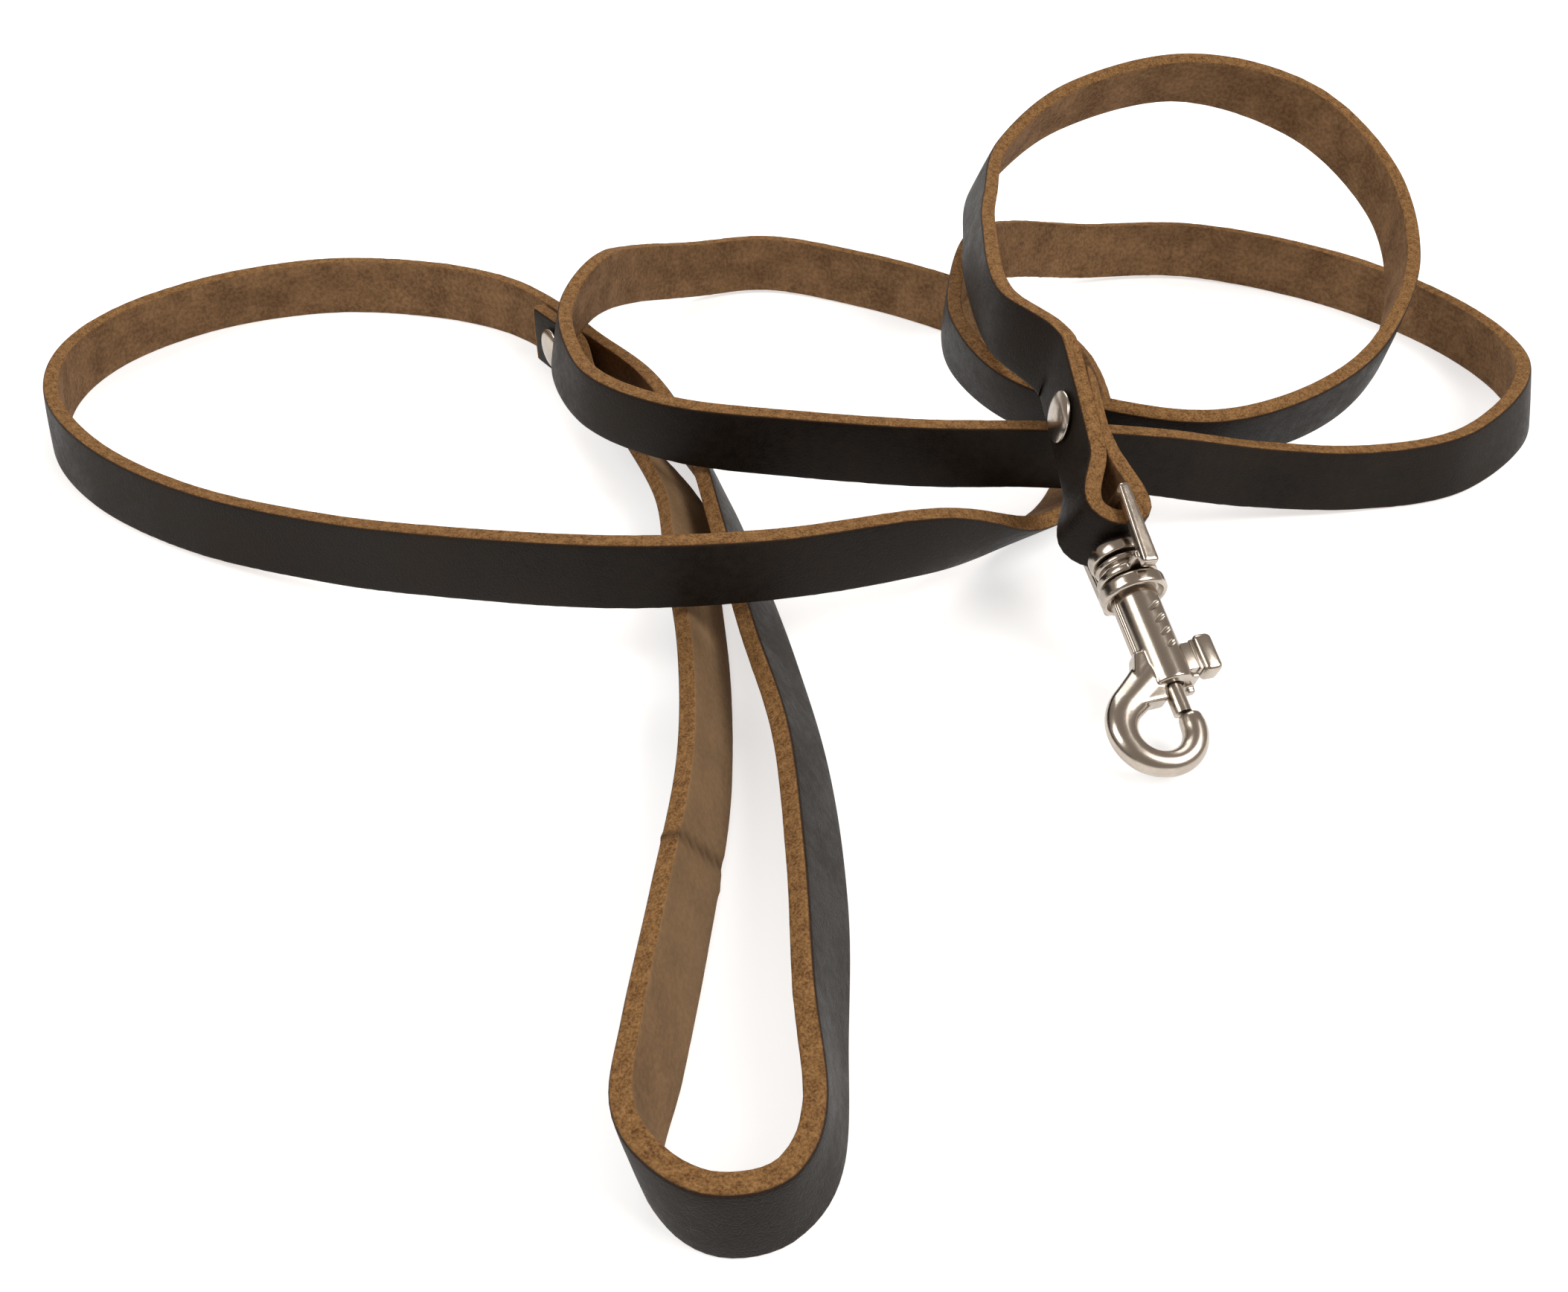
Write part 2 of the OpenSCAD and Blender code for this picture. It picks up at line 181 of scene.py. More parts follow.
ROUTE_EAST = [
    (128, 28, 0, -7), (146, 46, 1, -14), (152, 68, 0, -10), (144, 94, 0, -5),
    (125, 117, 0, 0), (98, 130, 0.5, 4), (71, 127, 1.5, 6), (51, 111, 8.5, 5),
    (40, 92, 14, 0), (34, 73, 13.5, -5), (33, 51, 13, 5),
]
ROUTE_RING = [
    (41, 31, 12.5, 20), (58, 21, 11.5, 26), (78, 22, 9, 26), (100, 35, 7.5, 16),
    (118, 55, 8.5, 11), (130, 79, 15, 8), (131, 103, 25, -4), (117, 123, 36, -12),
    (90, 130, 42, -31), (62, 122, 38, -29), (44, 103, 31, -25), (39, 79, 28, -17),
    (37, 58, 28, -11), (38, 33, 27, -2),
]


@dataclass
class StrapLine:
    """The strap's middle line with, at each point, its width and grain-side directions.

    pare is how much of the grain side is skived away there, in millimetres.
    """

    points: np.ndarray
    across: np.ndarray
    grain: np.ndarray
    run: np.ndarray
    pare: np.ndarray

    def resampled(self, step: float) -> "StrapLine":
        """The same line with points an even distance apart.

        Args:
            step: distance between points in millimetres.

        Returns:
            A new line.
        """
        count = max(2, int(round(self.run[-1] / step)) + 1)
        at = np.linspace(0.0, self.run[-1], count)

        def along(values: np.ndarray) -> np.ndarray:
            return np.stack([np.interp(at, self.run, values[:, k]) for k in range(3)], axis=1)

        def unit(values: np.ndarray) -> np.ndarray:
            return values / np.linalg.norm(values, axis=1, keepdims=True)

        return StrapLine(along(self.points), unit(along(self.across)), unit(along(self.grain)), at,
                         np.interp(at, self.run, self.pare))


@dataclass
class StrapRoute:
    """Works out the strap's line from its route rows and its fold at the snap."""

    width: float = 12.7
    thick: float = 3.0
    lap: Lap = field(default_factory=Lap)
    frame: SnapFrame = field(default_factory=SnapFrame)
    fold_gap: float = 0.3
    fold_inner: float = 2.1
    fold_bulge: float = 0.7
    fold_lap: float = 10.5
    fold_start: float = 32.0
    skive: float = 1.6
    skive_from: float = 7.0
    skive_to: float = 16.0
    tip_pare: float = 0.9
    tip_from: float = 25.0
    tip_over: float = 2.5
    tail_back: float = 27.5
    pinch: float = 0.20
    steps: int = 24

    def fold_axes(self) -> tuple[np.ndarray, np.ndarray, np.ndarray, np.ndarray]:
        """Origin and directions of the fold, in millimetres without the placing shift."""
        m = np.array(self.frame.fold())
        origin = m[:3, 3] / MM - np.array(PLACE)
        return origin, m[:3, 0], m[:3, 1], m[:3, 2]

    def half_high(self, lean: np.ndarray) -> np.ndarray:
        """Half the height that the leaning strap stands."""
        a = np.radians(lean)
        return self.width / 2 * np.abs(np.cos(a)) + self.thick / 2 * np.abs(np.sin(a))

    def fold_row(self, p: float) -> list[float]:
        """Route row of the fold's near layer at a station along the fold."""
        origin, f, n, w = self.fold_axes()
        up = np.array([0.0, 0.0, 1.0]) - f[2] * f
        up /= np.linalg.norm(up)
        side = np.cross(f, up)
        lean = math.degrees(math.atan2(w @ side, w @ up))
        c = origin + p * f - self.fold_mid() * n
        return [c[0], c[1], c[2] - float(self.half_high(np.array(lean))), lean]

    def fold_mid(self) -> float:
        """Half the distance between the fold's two layers."""
        return (self.thick + self.fold_gap) / 2

    def rows(self) -> np.ndarray:
        """All route rows from the handle's cut end to the start of the fold."""
        lap, off = self.lap, self.thick + self.lap.gap
        rows: list[Sequence[float]] = [lap.row(-lap.tail, off), lap.row(lap.half, off)]
        rows += ROUTE_HANDLE
        rows += [lap.row(lap.half, 0.0), lap.row(-lap.half, 0.0)]
        rows += ROUTE_WEST + ROUTE_MIDDLE + ROUTE_EAST + ROUTE_RING
        rows.append(self.fold_row(-self.fold_start))
        return np.array(rows, float)

    def lying_part(self) -> tuple[np.ndarray, np.ndarray, np.ndarray]:
        """Middle line and directions of everything before the fold."""
        rows = self.rows()
        ends = np.vstack([2 * rows[0] - rows[1], rows, self.fold_row(20 - self.fold_start)])
        parts = []
        t = (np.arange(self.steps) / self.steps)[:, None]
        for i in range(len(rows) - 1):
            a, b, c, d = ends[i:i + 4]
            parts.append((2 * b + (c - a) * t + (2 * a - 5 * b + 4 * c - d) * t**2
                          + (3 * b - a - 3 * c + d) * t**3) / 2)
        sweep = np.vstack(parts + [rows[-1][None]])
        lean = sweep[:, 3]
        mids = sweep[:, :3].copy()
        mids[:, 2] = np.maximum(0.0, mids[:, 2]) + self.half_high(lean)
        head = np.gradient(mids, axis=0)
        head[-1] = self.fold_axes()[1]
        head /= np.linalg.norm(head, axis=1, keepdims=True)
        up = np.array([0.0, 0.0, 1.0]) - head[:, 2:3] * head
        up /= np.linalg.norm(up, axis=1, keepdims=True)
        side = np.cross(head, up)
        a = np.radians(lean)[:, None]
        across = np.cos(a) * up + np.sin(a) * side
        return mids, across, np.cross(head, across)

    def fold_line(self) -> tuple[np.ndarray, np.ndarray]:
        """The fold's middle line in its own plane, and its headings."""
        mid, reach = self.fold_mid(), self.fold_inner + self.thick / 2
        wide = reach + self.fold_bulge
        p = np.concatenate([np.linspace(-self.fold_start, -self.fold_lap, 18, endpoint=False),
                            np.linspace(-self.fold_lap, 0.0, 22, endpoint=False)])
        t = np.clip((p + self.fold_lap) / self.fold_lap, 0.0, 1.0)
        squeeze = self.pinch * np.clip((p + self.fold_start) / 10, 0.0, 1.0)
        q = mid - squeeze + (wide - mid + squeeze) * t * t * (3 - 2 * t)
        turn = np.linspace(-math.pi / 2, math.pi / 2, 25)
        tip = np.stack([reach * np.cos(turn), wide * np.sin(turn)], axis=1)
        back = np.stack([p, q], axis=1)[::-1]
        back = back[back[:, 0] > -self.tail_back + 0.4]
        line = np.vstack([np.stack([p, -q], axis=1), tip, back, [[-self.tail_back, mid]]])
        head = np.gradient(line, axis=0)
        head[0], head[-1] = (1.0, 0.0), (-1.0, 0.0)
        return line, head / np.linalg.norm(head, axis=1, keepdims=True)

    def whole(self) -> StrapLine:
        """The whole strap's line, in millimetres in the part's frame."""
        mids, across, grain = self.lying_part()
        origin, f, n, w = self.fold_axes()
        line, head = self.fold_line()
        fold_mids = origin + line[:, :1] * f + line[:, 1:] * n
        fold_head = head[:, :1] * f + head[:, 1:] * n
        fold_across = np.repeat(w[None], len(line), axis=0)
        points = np.vstack([mids, fold_mids[1:]]) + np.array(PLACE)
        across = np.vstack([across, fold_across[1:]])
        grain = np.vstack([grain, np.cross(fold_head, fold_across)[1:]])
        run = np.concatenate([[0.0], np.cumsum(np.linalg.norm(np.diff(points, axis=0), axis=1))])
        on_tail, back = line[:, 1] > 0, -line[:, 0]
        tail = on_tail * np.clip((back - self.skive_from) / (self.skive_to - self.skive_from), 0, 1)
        pare = (self.thick - self.skive) * tail * tail * (3 - 2 * tail)
        pare += on_tail * self.tip_pare * np.clip((back - self.tip_from) / self.tip_over, 0, 1)
        pare = np.concatenate([np.zeros(len(mids)), pare[1:]])
        return StrapLine(points, across, grain, run, pare)


# --------------------------------------------------------------------------
# shader sheets
# --------------------------------------------------------------------------


class Sheet:
    """A node tree with short calls for adding and joining nodes."""

    def __init__(self, tree: bpy.types.NodeTree) -> None:
        """Takes the tree that the nodes go into."""
        self.tree = tree

    def add(self, kind: str, **values: object) -> bpy.types.Node:
        """Adds a node.

        Args:
            kind: the node's type.
            values: settings by name; a name with a leading "in_" fills the socket
                of that name or number, from a value or from another socket.

        Returns:
            The new node.
        """
        node = self.tree.nodes.new(kind)
        for name, value in values.items():
            if not name.startswith("in_"):
                setattr(node, name, value)
        for name, value in values.items():
            if name.startswith("in_"):
                key = name[3:]
                self.fill(node.inputs[int(key) if key.isdigit() else key.replace("_", " ")], value)
        return node

    def fill(self, socket: bpy.types.NodeSocket, value: object) -> None:
        """Sets a socket's value, or links it to another socket."""
        if isinstance(value, bpy.types.NodeSocket):
            self.tree.links.new(value, socket)
        else:
            socket.default_value = value

    def maths(self, operation: str, a: object, b: object = 0.0) -> bpy.types.NodeSocket:
        """One arithmetic step and its result."""
        return self.add("ShaderNodeMath", operation=operation, in_0=a, in_1=b).outputs[0]

    def noise(self, vector: object, scale: object, detail: float,
              roughness: float = 0.5) -> bpy.types.NodeSocket:
        """A noise pattern's value."""
        return self.add("ShaderNodeTexNoise", in_Vector=vector, in_Scale=scale, in_Detail=detail,
                        in_Roughness=roughness).outputs["Fac"]

    def blend(self, factor: object, a: object, b: object) -> bpy.types.NodeSocket:
        """Two colours mixed by a factor."""
        node = self.add("ShaderNodeMix", data_type="RGBA")
        self.fill(node.inputs[0], factor)
        self.fill(node.inputs[6], a)
        self.fill(node.inputs[7], b)
        return node.outputs[2]

    def between(self, value: object, low: float, high: float, to_low: float = 0.0,
                to_high: float = 1.0) -> bpy.types.NodeSocket:
        """A value mapped smoothly from one range to another."""
        node = self.add("ShaderNodeMapRange", interpolation_type="SMOOTHSTEP", in_0=value,
                        in_1=low, in_2=high, in_3=to_low, in_4=to_high)
        return node.outputs[0]


Colour = tuple[float, float, float, float]


def tint(r: float, g: float, b: float) -> Colour:
    """A colour with full alpha."""
    return (r, g, b, 1.0)


class MottleGroup:
    """A cloudy pattern with fine speckle, used by leather and by metal haze."""

    NAME = "mottle"

    @classmethod
    def tree(cls) -> bpy.types.NodeTree:
        """Builds the group once and returns it."""
        found = bpy.data.node_groups.get(cls.NAME)
        if found:
            return found
        tree = bpy.data.node_groups.new(cls.NAME, "ShaderNodeTree")
        face = tree.interface
        face.new_socket("Vector", in_out="INPUT", socket_type="NodeSocketVector")
        for name, start in (("Cloud scale", 60.0), ("Fleck scale", 900.0), ("Fleck share", 0.4)):
            socket = face.new_socket(name, in_out="INPUT", socket_type="NodeSocketFloat")
            socket.default_value = start
        for name in ("Low", "High"):
            face.new_socket(name, in_out="INPUT", socket_type="NodeSocketColor")
        face.new_socket("Color", in_out="OUTPUT", socket_type="NodeSocketColor")
        face.new_socket("Value", in_out="OUTPUT", socket_type="NodeSocketFloat")
        s = Sheet(tree)
        given = s.add("NodeGroupInput").outputs
        out = s.add("NodeGroupOutput")
        cloud = s.between(s.noise(given["Vector"], given["Cloud scale"], 4.0, 0.6), 0.32, 0.68)
        fleck = s.between(s.noise(given["Vector"], given["Fleck scale"], 2.0, 0.7), 0.35, 0.65)
        mixed = s.add("ShaderNodeMix", data_type="FLOAT", in_0=given["Fleck share"], in_2=cloud,
                      in_3=fleck)
        s.fill(out.inputs["Value"], mixed.outputs[0])
        s.fill(out.inputs["Color"], s.blend(mixed.outputs[0], given["Low"], given["High"]))
        return tree

    @classmethod
    def place(cls, sheet: Sheet, vector: object, cloud: float, fleck: float, share: float,
              low: Colour = tint(0, 0, 0), high: Colour = tint(1, 1, 1)) -> bpy.types.Node:
        """Puts the group into a material with its own values.

        Args:
            sheet: the material's sheet.
            vector: where the pattern is read.
            cloud: size number of the clouds.
            fleck: size number of the flecks.
            share: how much of the pattern is flecks.
            low: colour of the low places.
            high: colour of the high places.

        Returns:
            The group's node.
        """
        node = sheet.add("ShaderNodeGroup", node_tree=cls.tree())
        for name, value in (("Vector", vector), ("Cloud scale", cloud), ("Fleck scale", fleck),
                            ("Fleck share", share), ("Low", low), ("High", high)):
            sheet.fill(node.inputs[name], value)
        return node


@dataclass(frozen=True)
class StrapLeather:
    """Bridle leather: near-black grain, brown flesh side and tan cut edges, with painted shade
    along the flesh side's crease.
    """

    grain_low: Colour = tint(0.0066, 0.0045, 0.0031)
    grain_high: Colour = tint(0.0185, 0.0130, 0.0088)
    flesh_low: Colour = tint(0.092, 0.048, 0.022)
    flesh_high: Colour = tint(0.265, 0.150, 0.073)
    flesh_grey: Colour = tint(0.235, 0.155, 0.085)
    edge_low: Colour = tint(0.085, 0.037, 0.013)
    edge_high: Colour = tint(0.305, 0.165, 0.064)
    dark_line: Colour = tint(0.035, 0.018, 0.010)
    # Painted shade: the dark colour that the flesh side takes along the crease's dent.
    crease_shade: Colour = tint(0.05, 0.028, 0.015)

    def build(self) -> bpy.types.Material:
        """Makes the leather material."""
        mat = bpy.data.materials.new("strap_leather")
        mat.use_nodes = True
        s = Sheet(mat.node_tree)
        mat.node_tree.nodes.clear()
        uv = s.add("ShaderNodeUVMap", uv_map="strap").outputs["UV"]
        edge = s.add("ShaderNodeAttribute", attribute_name="cut_edge").outputs["Fac"]
        grain = s.add("ShaderNodeAttribute", attribute_name="grain_side").outputs["Fac"]
        worn = s.add("ShaderNodeAttribute", attribute_name="handled").outputs["Fac"]
        # Mask of the painted shade along the crease's dent on the flesh side.
        crease = s.add("ShaderNodeAttribute", attribute_name="crease").outputs["Fac"]

        jitter = s.maths("MULTIPLY", s.maths("SUBTRACT", s.noise(uv, 1400.0, 3.0), 0.5), 0.55)
        edge_mask = s.between(s.maths("ADD", edge, jitter), 0.42, 0.62)
        grain_mask = s.between(s.maths("ADD", grain, s.maths("MULTIPLY", jitter, 0.5)), 0.45, 0.60)

        grain_tone = MottleGroup.place(s, uv, 55.0, 520.0, 0.35, self.grain_low, self.grain_high)
        pores = s.add("ShaderNodeTexVoronoi", feature="DISTANCE_TO_EDGE", in_Vector=uv,
                      in_Scale=1500.0)
        flesh_tone = MottleGroup.place(s, uv, 120.0, 1100.0, 0.45, self.flesh_low, self.flesh_high)
        streak_map = s.add("ShaderNodeMapping", in_Vector=uv, in_Scale=(0.35, 1.0, 1.0))
        streak = MottleGroup.place(s, streak_map.outputs[0], 34.0, 260.0, 0.3)
        flesh = s.blend(s.maths("MULTIPLY", streak.outputs["Value"], 0.45),
                        flesh_tone.outputs["Color"], self.flesh_low)
        flesh = s.blend(s.maths("MULTIPLY", worn, 0.55), flesh, self.flesh_grey)
        edge_tone = MottleGroup.place(s, uv, 700.0, 2600.0, 0.55, self.edge_low, self.edge_high)

        colour = s.blend(grain_mask, flesh, grain_tone.outputs["Color"])
        colour = s.blend(edge_mask, colour, edge_tone.outputs["Color"])
        seam = s.maths("MULTIPLY", s.between(edge, 0.12, 0.38), s.between(edge, 0.72, 0.50))
        seam = s.maths("MULTIPLY", seam, s.between(grain, 0.2, 0.7))
        colour = s.blend(s.maths("MULTIPLY", seam, 0.7), colour, self.dark_line)
        # Painted shade: the flesh side darkens towards the crease colour along the dent.
        colour = s.blend(s.maths("MULTIPLY", crease, 0.75), colour, self.crease_shade)

        fibre = s.noise(uv, 2400.0, 3.0, 0.75)
        flat = s.maths("MAXIMUM", edge_mask, s.maths("SUBTRACT", 1.0, grain_mask))
        pore = s.between(pores.outputs["Distance"], 0.0, 0.12)
        height = s.maths("ADD", s.maths("MULTIPLY", fibre, flat),
                         s.maths("MULTIPLY", s.maths("MULTIPLY", pore, 0.22), grain_mask))
        height = s.maths("ADD", height, s.maths("MULTIPLY", grain_tone.outputs["Value"], 0.12))
        bump = s.add("ShaderNodeBump", in_Height=height, in_Strength=0.55, in_Distance=0.00025)

        rough = s.add("ShaderNodeMix", data_type="FLOAT", in_0=flat, in_3=0.86)
        s.fill(rough.inputs[2], s.between(grain_tone.outputs["Value"], 0.0, 1.0, 0.42, 0.58))
        shader = s.add("ShaderNodeBsdfPrincipled", in_Base_Color=colour,
                       in_Roughness=rough.outputs[0], in_Normal=bump.outputs[0])
        shader.inputs["Specular IOR Level"].default_value = 0.09
        shader.inputs["Sheen Weight"].default_value = 0.0
        shader.inputs["Sheen Roughness"].default_value = 0.6
        s.add("ShaderNodeOutputMaterial", in_Surface=shader.outputs[0])
        return mat


@dataclass(frozen=True)
class PlatedMetal:
    """Bright plate over a casting, with faint haze and a few fine marks."""

    name: str = "bright_nickel"
    colour: Colour = tint(0.51, 0.455, 0.395)
    dull: Colour = tint(0.43, 0.375, 0.32)
    rough: float = 0.18
    haze: float = 0.09

    def build(self) -> bpy.types.Material:
        """Makes the metal material."""
        mat = bpy.data.materials.new(self.name)
        mat.use_nodes = True
        s = Sheet(mat.node_tree)
        mat.node_tree.nodes.clear()
        place = s.add("ShaderNodeTexCoord").outputs["Object"]
        haze = MottleGroup.place(s, place, 180.0, 2200.0, 0.35, self.dull, self.colour)
        rough = s.between(haze.outputs["Value"], 0.0, 1.0, self.rough + self.haze, self.rough)
        bump = s.add("ShaderNodeBump", in_Height=s.noise(place, 700.0, 2.0), in_Strength=0.06,
                     in_Distance=0.0002)
        shader = s.add("ShaderNodeBsdfPrincipled", in_Base_Color=haze.outputs["Color"],
                       in_Roughness=rough, in_Metallic=1.0, in_Normal=bump.outputs[0])
        s.add("ShaderNodeOutputMaterial", in_Surface=shader.outputs[0])
        return mat


@dataclass(frozen=True)
class PaleFloor:
    """The plain pale surface that the leash lies on."""

    half: float = 3.0

    def build(self) -> None:
        """Makes the floor."""
        Bench.clear_selection()
        bpy.ops.mesh.primitive_plane_add(size=2 * self.half, location=(0, 0, 0))
        floor = bpy.context.active_object
        floor.name = "floor"
        mat = bpy.data.materials.new("pale_floor")
        mat.use_nodes = True
        s = Sheet(mat.node_tree)
        mat.node_tree.nodes.clear()
        shader = s.add("ShaderNodeBsdfPrincipled", in_Base_Color=tint(0.62, 0.62, 0.62),
                       in_Roughness=0.9)
        shader.inputs["Specular IOR Level"].default_value = 0.1
        shader.inputs["Emission Color"].default_value = tint(1, 1, 1)
        shader.inputs["Emission Strength"].default_value = 0.62
        s.add("ShaderNodeOutputMaterial", in_Surface=shader.outputs[0])
        floor.data.materials.append(mat)


# --------------------------------------------------------------------------
# bench work
# --------------------------------------------------------------------------


class Bench:
    """Small steps shared by every piece that is modelled."""

    @staticmethod
    def clear_selection() -> None:
        """Leaves nothing selected and no mode open."""
        if bpy.context.object and bpy.context.object.mode != "OBJECT":
            bpy.ops.object.mode_set(mode="OBJECT")
        bpy.ops.object.select_all(action="DESELECT")

    @staticmethod
    def only(obj: bpy.types.Object) -> None:
        """Makes one object the selected and active one."""
        Bench.clear_selection()
        obj.select_set(True)
        bpy.context.view_layer.objects.active = obj

    @staticmethod
    def settle(obj: bpy.types.Object, name: str) -> bpy.types.Object:
        """Names a piece and moves its place into its mesh."""
        Bench.only(obj)
        bpy.ops.object.transform_apply(location=True, rotation=True, scale=True)
        obj.name = name
        obj.data.name = name
        return obj

    @staticmethod
    def rod(radius: float, start: float, end: float, y: float = 0.0, z: float = 0.0,
            sides: int = 64) -> bpy.types.Object:
        """A round bar along X, in millimetres."""
        Bench.clear_selection()
        bpy.ops.mesh.primitive_cylinder_add(
            vertices=sides, radius=radius * MM, depth=(end - start) * MM,
            location=((start + end) / 2 * MM, y * MM, z * MM), rotation=(0, math.pi / 2, 0))
        return Bench.settle(bpy.context.active_object, "rod")

    @staticmethod
    def block(low: Sequence[float], high: Sequence[float], bevel: float = 0.0,
              segments: int = 3) -> bpy.types.Object:
        """A block between two corners in millimetres, with its edges rounded."""
        Bench.clear_selection()
        middle = [(a + b) / 2 * MM for a, b in zip(low, high)]
        bpy.ops.mesh.primitive_cube_add(size=1.0, location=middle)
        obj = bpy.context.active_object
        obj.scale = [(b - a) * MM for a, b in zip(low, high)]
        Bench.settle(obj, "block")
        return Bench.bevel(obj, bevel, segments) if bevel > 0 else obj

    @staticmethod
    def bevel(obj: bpy.types.Object, width: float, segments: int) -> bpy.types.Object:
        """Rounds every edge of a piece by a width in millimetres."""
        Bench.only(obj)
        bpy.ops.object.mode_set(mode="EDIT")
        bpy.ops.mesh.select_all(action="SELECT")
        bpy.ops.mesh.bevel(offset=width * MM, segments=segments, affect="EDGES")
        bpy.ops.object.mode_set(mode="OBJECT")
        return obj

    @staticmethod
    def drawn(profile: Sequence[tuple[float, float]], sides: int,
              y: float = 0.0) -> bpy.types.Object:
        """A round plate drawn out ring by ring along X and left in edit mode.

        Args:
            profile: station and radius of each ring in millimetres.
            sides: number of points in a ring.
            y: how far to the side the rings' middles lie, in millimetres.

        Returns:
            The new piece, with its last ring selected.
        """
        Bench.clear_selection()
        station, radius = profile[0]
        bpy.ops.mesh.primitive_circle_add(
            vertices=sides, radius=radius * MM, fill_type="NGON",
            location=(station * MM, y * MM, 0), rotation=(0, math.pi / 2, 0))
        obj = Bench.settle(bpy.context.active_object, "drawn")
        bpy.ops.object.mode_set(mode="EDIT")
        bpy.ops.mesh.select_all(action="SELECT")
        for s, r in profile[1:]:
            bpy.ops.mesh.extrude_region_move(
                TRANSFORM_OT_translate={"value": ((s - station) * MM, 0, 0)})
            grow = r / radius
            bpy.ops.transform.resize(value=(1, grow, grow), center_override=(s * MM, y * MM, 0))
            station, radius = s, r
        return obj

    @staticmethod
    def closed(obj: bpy.types.Object) -> bpy.types.Object:
        """Welds a drawn piece, turns its faces outwards and leaves edit mode."""
        bpy.ops.mesh.select_all(action="SELECT")
        bpy.ops.mesh.remove_doubles(threshold=1e-6)
        bpy.ops.mesh.normals_make_consistent(inside=False)
        bpy.ops.object.mode_set(mode="OBJECT")
        return obj

    @staticmethod
    def turned(profile: Sequence[tuple[float, float]], sides: int = 64) -> bpy.types.Object:
        """A closed shape of rings along X: each ring's station and radius in millimetres."""
        return Bench.closed(Bench.drawn(profile, sides))

    @staticmethod
    def cut(obj: bpy.types.Object, tools: Iterable[bpy.types.Object]) -> None:
        """Takes the tools' shapes out of a piece and removes the tools."""
        for tool in tools:
            Bench.only(obj)
            step = obj.modifiers.new("cut", "BOOLEAN")
            step.operation, step.solver, step.object = "DIFFERENCE", "EXACT", tool
            bpy.ops.object.modifier_apply(modifier=step.name)
            bpy.data.objects.remove(tool, do_unlink=True)

    @staticmethod
    def joined(parts: Sequence[bpy.types.Object]) -> bpy.types.Object:
        """Joins several shapes into one object."""
        Bench.clear_selection()
        for part in parts:
            part.select_set(True)
        bpy.context.view_layer.objects.active = parts[0]
        bpy.ops.object.join()
        return bpy.context.active_object

    @staticmethod
    def cast(obj: bpy.types.Object, grain: float, rounds: int) -> None:
        """Melts overlapping shapes into one casting with soft corners.

        Args:
            obj: the joined shapes.
            grain: size of the casting's cells in millimetres.
            rounds: how often its surface is smoothed.
        """
        Bench.only(obj)
        melt = obj.modifiers.new("melt", "REMESH")
        melt.mode, melt.voxel_size, melt.use_smooth_shade = "VOXEL", grain * MM, True
        bpy.ops.object.modifier_apply(modifier=melt.name)
        soft = obj.modifiers.new("soft", "SMOOTH")
        soft.factor, soft.iterations = 0.5, rounds
        bpy.ops.object.modifier_apply(modifier=soft.name)

    @staticmethod
    def finish(obj: bpy.types.Object, name: str, matrix: Matrix, mat: bpy.types.Material,
               angle: float = 40.0) -> bpy.types.Object:
        """Lays a piece in place, smooths its shading and dresses it.

        Args:
            obj: the piece in its own frame.
            name: the piece's name.
            matrix: its place.
            mat: its material.
            angle: edges sharper than this stay crisp, in degrees.

        Returns:
            The finished piece.
        """
        obj.data.transform(matrix)
        obj.data.update()
        obj.name, obj.data.name = name, name
        Bench.only(obj)
        bpy.ops.object.shade_smooth_by_angle(angle=math.radians(angle))
        obj.data.materials.clear()
        obj.data.materials.append(mat)
        return obj


# --------------------------------------------------------------------------
# the strap
# --------------------------------------------------------------------------


@dataclass(frozen=True)
class EdgePoint:
    """One point of the strap's section."""

    out: float
    across: float
    grain: float
    edge: float
    v: float


